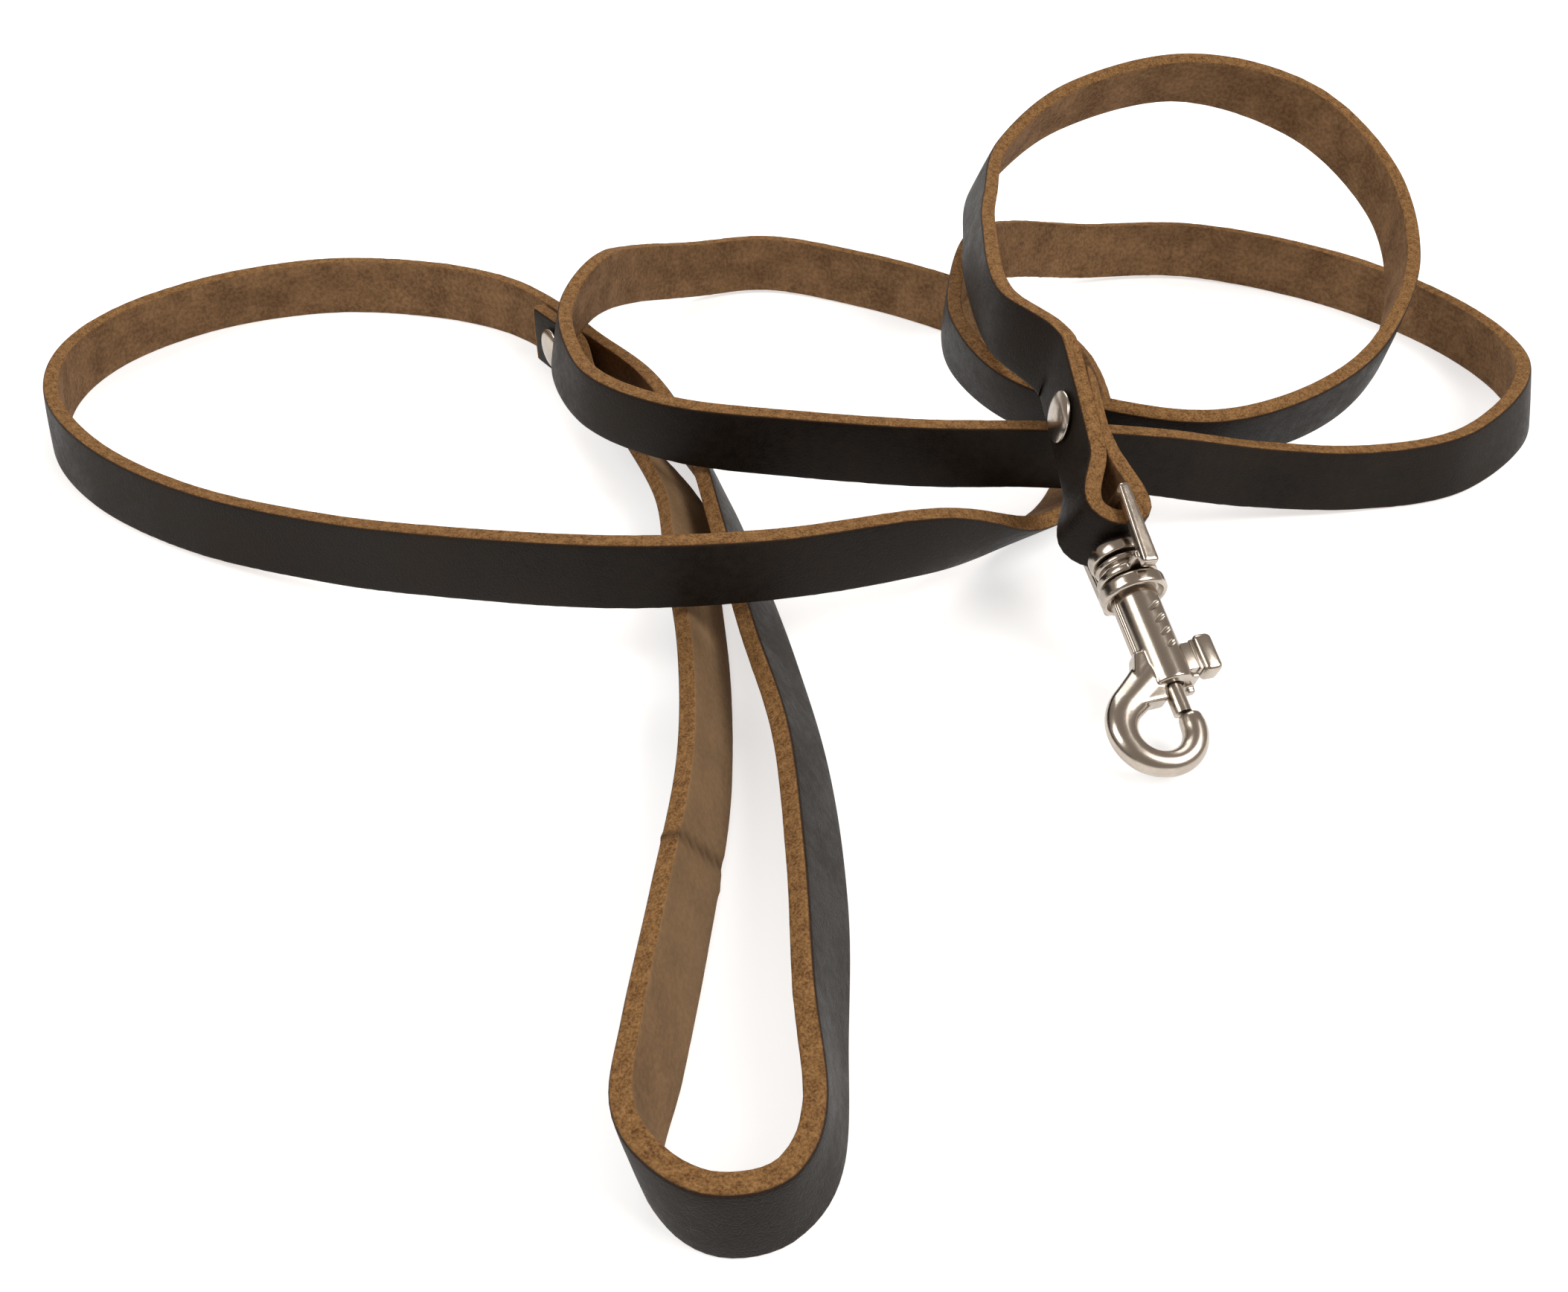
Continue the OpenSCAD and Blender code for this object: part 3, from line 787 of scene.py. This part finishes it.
@dataclass
class LeatherStrap:
    """The one long strap, from the handle's cut end to the snap's cut end."""

    route: StrapRoute = field(default_factory=StrapRoute)
    finish: StrapLeather = field(default_factory=StrapLeather)
    step: float = 1.25
    grain_round: float = 0.65
    flesh_round: float = 0.30
    crease_at: float = 171.0
    crease_slant: float = 0.45
    crown: float = 0.10
    handled: tuple[float, float] = (20.0, 250.0)

    def section(self) -> list[EdgePoint]:
        """The strap's section, counted from the grain side's lower corner upwards."""
        hw, ht = self.route.width / 2, self.route.thick / 2
        rg, rf = self.grain_round, self.flesh_round
        raw: list[tuple[float, float, float, float]] = []
        for w in np.linspace(-(hw - rg), hw - rg, 9):
            raw.append((ht - self.crown + self.crown * (1 - (w / hw) ** 2), float(w), 1.0, 0.0))
        for deg in (30, 60, 90):
            a = math.radians(deg)
            raw.append((ht - rg + rg * math.cos(a) - 0.05 * math.cos(a), hw - rg + rg * math.sin(a),
                        1.0 - deg / 100, deg / 90 * 0.9))
        for n in np.linspace(ht - rg, -(ht - rf), 5)[1:-1]:
            raw.append((float(n), hw, 0.0, 1.0))
        for deg in (90, 135):
            a = math.radians(deg)
            raw.append((-(ht - rf) + rf * math.cos(a), hw - rf + rf * math.sin(a), 0.0,
                        1.0 - (deg - 90) / 90))
        for w in np.linspace(hw - rf, -(hw - rf), 9):
            raw.append((-ht, float(w), 0.0, 0.0))
        raw += [(out, -w, g, e) for out, w, g, e in reversed(raw[9:17])]
        points, v = [], 0.0
        for k, (out, w, g, e) in enumerate(raw):
            if k:
                v += math.hypot(out - raw[k - 1][0], w - raw[k - 1][1])
            points.append(EdgePoint(out, w, g, e, v))
        return points

    def relief(self, s: float, p: EdgePoint) -> tuple[float, float]:
        """How far a point of the skin stands off the plain ribbon.

        Args:
            s: distance along the strap in millimetres.
            p: the section's point.

        Returns:
            Shift along the grain side's normal and across, in millimetres.
        """
        slow = noise.noise(Vector((s * 0.06, p.across * 0.10, 3.1)))
        fine = noise.noise(Vector((s * 0.55, p.across * 0.8 + p.out, 9.7)))
        fuzz = noise.noise(Vector((s * 1.15, p.out * 1.3, 17.0 + math.copysign(4, p.across))))
        out = 0.05 * slow
        across = 0.0
        if p.edge > 0.3:
            across += math.copysign(1.0, p.across) * p.edge * (0.13 * fuzz + 0.05 * fine - 0.05)
        elif p.grain < 0.2:
            out += 0.05 * fine
        dent = math.exp(-((s - self.crease_at - self.crease_slant * p.across) / 1.1) ** 2)
        if p.grain < 0.5:
            out += 0.28 * dent
        if p.edge > 0.3 and p.across < 0:
            across -= 0.35 * math.exp(-((s - self.crease_at - 1.5) / 1.0) ** 2)
        return out, across

    def build(self) -> None:
        line = self.route.whole().resampled(self.step)
        section = self.section()
        rings, sides = len(line.points), len(section)
        verts = np.zeros((rings * sides, 3))
        for i in range(rings):
            s = float(line.run[i])
            for k, p in enumerate(section):
                out, across = self.relief(s, p)
                out -= line.pare[i] * (p.out + self.route.thick / 2) / self.route.thick
                verts[i * sides + k] = (line.points[i] + (p.out + out) * line.grain[i]
                                        + (p.across + across) * line.across[i])
        faces: list[Sequence[int]] = []
        for i in range(rings - 1):
            for k in range(sides):
                a, b = i * sides + k, i * sides + (k + 1) % sides
                faces.append((a, a + sides, b + sides, b))
        faces.append(list(range(sides)))
        faces.append(list(range(rings * sides - 1, (rings - 1) * sides - 1, -1)))
        mesh = bpy.data.meshes.new("leather_strap")
        mesh.from_pydata((verts * MM).tolist(), [], faces)
        self.paint(mesh, line, section)
        strap = bpy.data.objects.new("leather_strap", mesh)
        bpy.context.scene.collection.objects.link(strap)
        Bench.only(strap)
        bpy.ops.object.shade_smooth_by_angle(angle=math.radians(60))
        mesh.materials.append(self.finish.build())
        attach(strap, Body.STRAP.value)
        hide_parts("handle_loop", "lead_strap", "snap_fold")
        path = self.route.whole().resampled(5.0).points * MM

    def paint(self, mesh: bpy.types.Mesh, line: StrapLine, section: list[EdgePoint]) -> None:
        """Writes the strap's map and the masks that its leather reads.

        Args:
            mesh: the strap's mesh.
            line: its middle line.
            section: its section.
        """
        rings, sides = len(line.points), len(section)
        run = np.repeat(line.run, sides)
        grain = np.tile([p.grain for p in section], rings)
        edge = np.tile([p.edge for p in section], rings)
        across = np.tile([p.across for p in section], rings)
        edge[:sides] = edge[-sides:] = 1.0
        lo, hi = self.handled
        handled = np.clip((run - lo) / 60, 0, 1) * np.clip((hi - run) / 60, 0, 1)
        # The crease mask below places painted shade along the dent on the flesh side.
        off = run - self.crease_at - self.crease_slant * across
        crease = np.exp(-(off / 0.9) ** 2) * (grain < 0.5)
        for name, values in (("grain_side", grain), ("cut_edge", edge), ("handled", handled),
                             ("crease", crease)):
            layer = mesh.attributes.new(name, "FLOAT", "POINT")
            layer.data.foreach_set("value", values.astype(np.float32))
        around = np.array([p.v for p in section])
        turn = around[-1] + 0.6
        index = np.zeros(len(mesh.loops), dtype=np.int32)
        mesh.loops.foreach_get("vertex_index", index)
        u = line.run[index // sides] * MM
        v = around[index % sides]
        start = np.zeros(len(mesh.polygons), dtype=np.int32)
        mesh.polygons.foreach_get("loop_start", start)
        quads = start[:-2]
        corner = v[quads[:, None] + np.arange(4)]
        wraps = corner.max(axis=1) - corner.min(axis=1) > turn / 2
        for q in quads[wraps]:
            part = v[q:q + 4]
            part[part < 1e-6] = turn
            v[q:q + 4] = part
        uv = mesh.uv_layers.new(name="strap")
        flat = np.empty(2 * len(index), dtype=np.float32)
        flat[0::2], flat[1::2] = u, v * MM
        uv.data.foreach_set("uv", flat)


# --------------------------------------------------------------------------
# rivets
# --------------------------------------------------------------------------


@dataclass
class DoubleCapRivets:
    """The two double-cap rivets: handle lap and snap fold."""

    route: StrapRoute = field(default_factory=StrapRoute)
    cap_d: float = 8.9
    cap_h: float = 1.3
    post_d: float = 3.0
    air: float = 0.35
    rivet_back: float = 21.5

    def cap_profile(self) -> list[tuple[float, float]]:
        """Station and radius of the dome's rings."""
        r = self.cap_d / 2
        rim = [(0.0, r - 0.35), (0.02, r - 0.1), (0.18, r), (0.36, r - 0.05), (0.50, r - 0.22)]
        top = [(self.cap_h * math.sqrt(max(0.0, 1 - (x / (r * 1.02)) ** 2)) * 0.98 + 0.02, x)
               for x in (r * 0.90, r * 0.8, r * 0.66, r * 0.5, r * 0.33, r * 0.16, r * 0.04)]
        return rim + [(max(s, 0.52), x) for s, x in top]

    def stacks(self) -> list[tuple[Matrix, float]]:
        """Each rivet's matrix, with X along its post, and the leather's thickness there."""
        lap, t = self.route.lap, self.route.thick
        off = t + lap.gap
        n = lap.normal()
        middle = np.array(lap.at) + n * off / 2
        at = Vector((middle[0] + PLACE[0], middle[1] + PLACE[1], self.route.width / 2)) * MM
        first = Matrix.Translation(at) @ Matrix.Rotation(math.atan2(n[1], n[0]), 4, "Z")
        spot = Vector((-self.rivet_back * MM, (self.route.skive - t) / 2 * MM, 0))
        second = self.route.frame.fold() @ Matrix.Translation(spot)
        second = second @ Matrix.Rotation(-math.pi / 2, 4, "Z")
        return [(first, 2 * t + lap.gap), (second, t + self.route.skive + self.route.fold_gap)]

    def build(self, mat: bpy.types.Material) -> None:
        """Makes the caps, and the posts with their back caps."""
        fronts, backs = [], []
        for matrix, stack in self.stacks():
            lift = stack / 2 + self.air - 0.1
            front = Bench.turned(self.cap_profile())
            front.data.transform(matrix @ Matrix.Translation((lift * MM, 0, 0)))
            back = Bench.turned(self.cap_profile())
            flip = Matrix.Rotation(math.pi, 4, "Z")
            back.data.transform(matrix @ flip @ Matrix.Translation((lift * MM, 0, 0)))
            post = Bench.rod(self.post_d / 2, -lift - 0.2, lift)
            post.data.transform(matrix)
            fronts.append(front)
            backs += [back, post]
        for parts, name, node in ((fronts, "cap_domes", "rivet_caps"),
                                  (backs, "cap_posts", "rivet_posts")):
            piece = Bench.finish(Bench.joined(parts), name, Matrix.Identity(4), mat, 50)
            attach(piece, Body.STRAP.value)
            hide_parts(node)
            log.info("rivets: %s", name)


# --------------------------------------------------------------------------
# the snap
# --------------------------------------------------------------------------


@dataclass
class SnapStations:
    """Stations along the snap, counted from the crossbar in millimetres."""

    head: float = 4.9
    head_end: float = 8.1
    ring: float = 8.5
    ring_end: float = 12.0
    collar: float = 12.3
    collar_end: float = 15.0
    barrel_end: float = 30.9
    thumb: float = 26.8
    hook: float = 37.7
    tip: float = 35.7
    hook_side: float = 0.8


@dataclass
class SwivelEye:
    """The eye that the strap passes through: crossbar, two legs and a ring."""

    at: SnapStations = field(default_factory=SnapStations)
    frame: SnapFrame = field(default_factory=SnapFrame)
    inside: float = 14.8
    leg_t: float = 2.0
    leg_w: float = 2.8
    leg_taper: float = 0.68
    bar_d: float = 2.3
    ring_d: float = 9.8
    hole_d: float = 3.7

    def leg(self, side: int) -> bpy.types.Object:
        """One flat bevelled leg, on the side of the given sign."""
        top, foot = self.inside / 2, self.inside / 2 - 1.2
        obj = Bench.block((-1.1, -self.leg_w / 2, top),
                          (self.at.ring_end + 1.2, self.leg_w / 2, top + self.leg_t))
        for v in obj.data.vertices:
            if v.co.x < 1 * MM:
                v.co.y *= self.leg_taper
            else:
                v.co.z -= (top - foot) * MM
        Bench.bevel(obj, 0.5, 2)
        if side < 0:
            obj.data.transform(Matrix.Rotation(math.pi, 4, "X"))
        return obj

    def build(self, mat: bpy.types.Material) -> None:
        """Casts the eye and lays it in place."""
        a, r = self.at, self.ring_d / 2
        boss = Bench.turned([
            (a.ring, r - 1.2), (a.ring + 0.1, r - 0.6), (a.ring + 0.3, r - 0.45),
            (a.ring + 0.8, r - 0.45), (a.ring + 1.05, r - 0.7), (a.ring + 1.15, r - 1.3),
            (a.ring_end - 1.6, r - 1.3),
            (a.ring_end - 1.5, r - 0.4), (a.ring_end - 1.3, r - 0.1), (a.ring_end - 1.0, r),
            (a.ring_end - 0.35, r), (a.ring_end - 0.1, r - 0.2), (a.ring_end, r - 0.5)], 72)
        half = self.inside / 2 + self.leg_t / 2
        bar = Bench.rod(self.bar_d / 2, -half, half)
        bar.data.transform(Matrix.Rotation(math.pi / 2, 4, "Y"))
        lugs = [Bench.block((a.ring_end - 1.5, -1.9, low), (a.ring_end - 0.1, 1.9, high), 0.3)
                for low, high in ((2.6, 7.4), (-7.4, -2.6))]
        body = Bench.joined([bar, self.leg(1), self.leg(-1), boss] + lugs)
        Bench.cast(body, 0.14, 7)
        Bench.cut(body, [Bench.rod(self.hole_d / 2, a.ring - 1, a.ring_end + 1)])
        piece = Bench.finish(body, "cast_eye", self.frame.eye(), mat, 45)
        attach(piece, Body.EYE.value)
        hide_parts("swivel_eye")
        log.info("eye: %d faces", len(piece.data.polygons))


@dataclass
class SwivelStud:
    """The headed stud that the eye turns on."""

    at: SnapStations = field(default_factory=SnapStations)
    frame: SnapFrame = field(default_factory=SnapFrame)
    head_d: float = 9.8
    stem_d: float = 3.6

    def build(self, mat: bpy.types.Material) -> None:
        """Turns the stud and lays it in place."""
        a, r = self.at, self.head_d / 2
        dome = [(a.head + 0.02, r * 0.30), (a.head + 0.10, r * 0.5), (a.head + 0.24, r * 0.68),
                (a.head + 0.48, r * 0.83), (a.head + 0.85, r * 0.93), (a.head + 1.35, r * 0.985),
                (a.head + 1.9, r), (a.head_end - 0.25, r), (a.head_end - 0.08, r - 0.06),
                (a.head_end, r - 0.22), (a.head_end + 0.02, r - 0.6),
                (a.head_end + 0.03, self.stem_d / 2 + 0.2), (a.head_end + 0.15, self.stem_d / 2),
                (a.collar_end, self.stem_d / 2)]
        piece = Bench.finish(Bench.turned(dome, 96), "swivel_head", self.frame.snap(), mat, 50)
        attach(piece, Body.HOOK.value)
        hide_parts("swivel_stud")
        log.info("stud: %d faces", len(piece.data.polygons))


@dataclass
class HookBody:
    """The cast barrel with its collar, slot, flutes and open hook."""

    at: SnapStations = field(default_factory=SnapStations)
    frame: SnapFrame = field(default_factory=SnapFrame)
    barrel_d: float = 7.0
    collar_d: float = 10.8
    bore_d: float = 4.6
    rod_d: float = 4.0
    inside: float = 6.8
    neck_l: float = 4.7
    neck_w: float = 2.6
    travel: float = 4.5

    def barrel(self) -> bpy.types.Object:
        """Barrel and collar, turned in one."""
        a, b, c = self.at, self.barrel_d / 2, self.collar_d / 2
        return Bench.turned([
            (a.collar, c - 1.0), (a.collar + 0.1, c - 0.5), (a.collar + 0.4, c - 0.1),
            (a.collar + 0.7, c), (a.collar_end - 0.6, c), (a.collar_end - 0.25, c - 0.1),
            (a.collar_end, c - 0.35),
            (a.collar_end, c - 0.75), (a.collar_end - 0.5, c - 0.95), (a.collar_end - 1.2, b + 0.5),
            (a.collar_end - 1.25, b), (a.collar_end + 1.0, b), (a.barrel_end - 0.2, b),
            (a.barrel_end, b - 0.2)], 96)

    def flutes(self) -> list[bpy.types.Object]:
        """Cutters for the four slanted grip marks on the barrel's face."""
        tools = []
        for k, (along, long) in enumerate(((18.3, 2.1), (20.6, 2.05), (22.9, 1.9), (25.1, 1.5))):
            Bench.clear_selection()
            bpy.ops.mesh.primitive_uv_sphere_add(
                segments=48, ring_count=24, radius=1.0,
                location=(along * MM, (0.8 + 0.12 * k) * MM, (self.barrel_d / 2 + 0.12) * MM))
            tool = bpy.context.active_object
            tool.scale = (0.62 * MM, long * MM, 0.62 * MM)
            tool.rotation_euler = (math.radians(-13), 0, math.radians(30))
            tools.append(Bench.settle(tool, "flute"))
        return tools

    def hook(self) -> bpy.types.Object:
        """The open C, grown from its tip round to the barrel."""
        a, r = self.at, self.rod_d / 2
        reach = (self.inside + self.rod_d) / 2
        obj = Bench.drawn([(a.tip, 0.9), (a.tip + 0.12, 1.35), (a.tip + 0.4, 1.68),
                           (a.tip + 0.9, 1.85), (a.hook, r)], 40, a.hook_side)
        turn, count = 235.0, 47
        centre = Vector((a.hook * MM, (a.hook_side - reach) * MM, 0))
        for step in range(count):
            bpy.ops.mesh.extrude_region_move(TRANSFORM_OT_translate={"value": (0, 0, 0)})
            bpy.ops.object.mode_set(mode="OBJECT")
            spin = Matrix.Translation(centre) @ Matrix.Rotation(-math.radians(turn / count), 4, "Z")
            spin = spin @ Matrix.Translation(-centre)
            swell = 1.012 if step > 20 else 1.0
            for v in obj.data.vertices:
                if v.select:
                    v.co = spin @ v.co
                    out = Vector((v.co.x, v.co.y, 0)) - Vector((centre.x, centre.y, 0))
                    far = out.length - self.inside / 2 * MM
                    v.co += out.normalized() * far * (swell - 1)
            bpy.ops.object.mode_set(mode="EDIT")
        bearing = math.radians(turn - 180)
        ahead = Vector((-math.cos(bearing), math.sin(bearing), 0))
        for step, grow in ((2.0, 1.04), (2.0, 1.06), (2.0, 1.08), (2.4, 1.02)):
            bpy.ops.mesh.extrude_region_move(
                TRANSFORM_OT_translate={"value": tuple(ahead * step * MM)})
            bpy.ops.object.mode_set(mode="OBJECT")
            chosen = [v for v in obj.data.vertices if v.select]
            middle = sum((v.co for v in chosen), Vector()) / len(chosen)
            side = Vector((ahead.y, -ahead.x, 0))
            for v in chosen:
                d = v.co - middle
                v.co = v.co + side * (d @ side) * (grow - 1)
            bpy.ops.object.mode_set(mode="EDIT")
        return Bench.closed(obj)

    def web(self) -> bpy.types.Object:
        """The solid corner between the barrel's end and the hook's limb."""
        plate = Bench.block((-1, -1, -1.75), (1, 1, 1.75))
        corners = {(-1, -1): (24.6, -4.4), (-1, 1): (24.6, 0.0),
                   (1, 1): (33.4, -1.9), (1, -1): (33.6, -7.6)}
        for v in plate.data.vertices:
            key = (int(math.copysign(1, v.co.x)), int(math.copysign(1, v.co.y)))
            v.co.x, v.co.y = corners[key][0] * MM, corners[key][1] * MM
        return Bench.bevel(plate, 0.5, 3)

    def build(self, mat: bpy.types.Material) -> None:
        """Casts the body, bores it and cuts its slot."""
        a, b = self.at, self.barrel_d / 2
        rib = Bench.block((a.collar_end - 0.6, -b - 0.5, -1.1), (26.0, -b + 0.8, 0.35), 0.25)
        foot = Bench.block((a.barrel_end - 1.0, 0.8, -1.9), (a.barrel_end, b + 0.75, 1.9), 0.3)
        lip = Bench.block((a.barrel_end - 0.6, b - 0.9, -2.3),
                          (a.barrel_end + 1.1, b + 0.5, -0.9), 0.3)
        body = Bench.joined([self.barrel(), self.hook(), self.web(), rib, foot, lip])
        Bench.cast(body, 0.15, 9)
        slot_start = a.thumb - self.neck_l / 2 - self.travel - 0.15
        slot_end = a.thumb + self.neck_l / 2 + 0.1
        tools = [
            Bench.rod(self.bore_d / 2, a.collar_end + 0.2, a.barrel_end - 1.0),
            Bench.rod(1.9, a.barrel_end - 2.0, a.barrel_end + 0.4),
            Bench.rod(1.8, a.collar - 1, a.collar_end + 1),
            Bench.block((slot_start, 0.5, -self.neck_w / 2 - 0.05),
                        (slot_end, b + 3, self.neck_w / 2 + 0.05)),
        ]
        Bench.cut(body, tools + self.flutes())
        piece = Bench.finish(body, "cast_hook", self.frame.snap(), mat, 45)
        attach(piece, Body.HOOK.value)
        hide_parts("hook_body")
        log.info("hook: %d faces", len(piece.data.polygons))


@dataclass
class ThumbPiece:
    """The neck and flat head that draw the bolt back."""

    at: SnapStations = field(default_factory=SnapStations)
    frame: SnapFrame = field(default_factory=SnapFrame)
    neck_l: float = 4.7
    neck_w: float = 2.6
    out: float = 8.9
    head_l: float = 6.6
    head_w: float = 3.8
    head_t: float = 3.3

    def build(self, mat: bpy.types.Material) -> None:
        """Makes the thumb piece and lays it in place."""
        t, under = self.at.thumb, self.out - self.head_t
        long, wide = self.neck_l / 2, self.neck_w / 2
        neck = Bench.block((t - long, 2.4, -wide), (t + long, under + 0.3, wide), 0.18)
        step = Bench.block((t - long - 0.25, under - 0.75, -wide - 0.2),
                           (t + long + 0.25, under - 0.1, wide + 0.2), 0.15)
        head = Bench.block((t - self.head_l / 2, under, -self.head_w / 2),
                           (t + self.head_l / 2, self.out, self.head_w / 2), 0.85, 6)
        for v in head.data.vertices:
            reach = (v.co.x / MM - t) / (self.head_l / 2)
            v.co.y -= 0.45 * reach * reach * MM * (v.co.y > (self.out - 1.0) * MM)
        pin = Bench.rod(0.9, -1.0, 2.6)
        pin.data.transform(Matrix.Translation((t * MM, 0, 0))
                           @ Matrix.Rotation(math.pi / 2, 4, "Z"))
        piece = Bench.finish(Bench.joined([neck, step, head, pin]), "thumb_piece",
                             self.frame.snap(), mat, 40)
        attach(piece, Body.BOLT.value)
        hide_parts("thumb_stud")
        log.info("thumb piece: %d faces", len(piece.data.polygons))


@dataclass
class BoltSnap:
    """The whole swivel bolt snap."""

    eye: SwivelEye = field(default_factory=SwivelEye)
    stud: SwivelStud = field(default_factory=SwivelStud)
    hook: HookBody = field(default_factory=HookBody)
    thumb: ThumbPiece = field(default_factory=ThumbPiece)

    def build(self, frame: dict, bright: bpy.types.Material, wire: bpy.types.Material) -> None:
        """Builds every piece of the snap and dresses the nodes that stay."""
        for part in (self.eye, self.stud, self.hook, self.thumb):
            part.build(bright)
        for name, mat in (("bolt", bright), ("front_bush", bright), ("bolt_spring", wire)):
            node = frame["nodes"][name]
            node.data.materials.clear()
            node.data.materials.append(mat)
            log.info("node %s dressed", name)


# --------------------------------------------------------------------------
# the studio
# --------------------------------------------------------------------------


@dataclass
class Studio:
    """Camera, lights and sky."""

    camera_at: tuple[float, float, float] = (-1.7, -221.4, 150.0)
    down: float = 37.1
    lens: float = 34.17

    def camera(self) -> None:
        """Adds the camera and makes it the scene's."""
        data = bpy.data.cameras.new("camera")
        data.sensor_width, data.lens = 36.0, self.lens
        data.clip_start, data.clip_end = 0.01, 20.0
        cam = bpy.data.objects.new("camera", data)
        cam.location = Vector(self.camera_at) * MM
        cam.rotation_euler = (math.radians(90 - self.down), 0, 0)
        bpy.context.scene.collection.objects.link(cam)
        bpy.context.scene.camera = cam

    def lamp(self, name: str, at: Sequence[float], size: float, power: float,
             colour: Sequence[float]) -> None:
        """Adds one square softbox aimed at the leash."""
        data = bpy.data.lights.new(name, "AREA")
        data.shape, data.size, data.energy, data.color = "SQUARE", size, power, colour
        obj = bpy.data.objects.new(name, data)
        obj.location = at
        aim = Vector((0, 0.05, 0)) - Vector(at)
        obj.rotation_euler = aim.to_track_quat("-Z", "Y").to_euler()
        bpy.context.scene.collection.objects.link(obj)

    def light(self) -> None:
        """Adds the softboxes and the sky."""
        self.lamp("key", (0.75, -0.35, 0.95), 0.7, 11.0, (1.0, 0.985, 0.96))
        self.lamp("fill", (-0.85, -0.25, 0.8), 0.6, 5.0, (1.0, 0.99, 0.97))
        self.lamp("back", (-0.1, 0.95, 0.85), 0.9, 7.0, (1.0, 1.0, 1.0))
        world = bpy.data.worlds.new("studio")
        bpy.context.scene.world = world
        world.use_nodes = True
        sky = world.node_tree.nodes["Background"]
        sky.inputs["Color"].default_value = tint(0.62, 0.54, 0.47)
        sky.inputs["Strength"].default_value = 0.55
        view = bpy.context.scene.view_settings
        view.view_transform, view.look = "Standard", "None"


def main() -> None:
    """Builds the leash around the loaded frame."""
    logging.basicConfig(level=logging.INFO, format="%(name)s: %(message)s")
    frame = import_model()
    studio = Studio()
    studio.camera()
    LeatherStrap().build()
    bright = PlatedMetal().build()
    wire = PlatedMetal("spring_wire", tint(0.50, 0.49, 0.48), tint(0.38, 0.37, 0.36),
                       0.28, 0.1).build()
    DoubleCapRivets().build(bright)
    BoltSnap().build(frame, bright, wire)
    PaleFloor().build()
    studio.light()


if __name__ == "__main__":
    main()
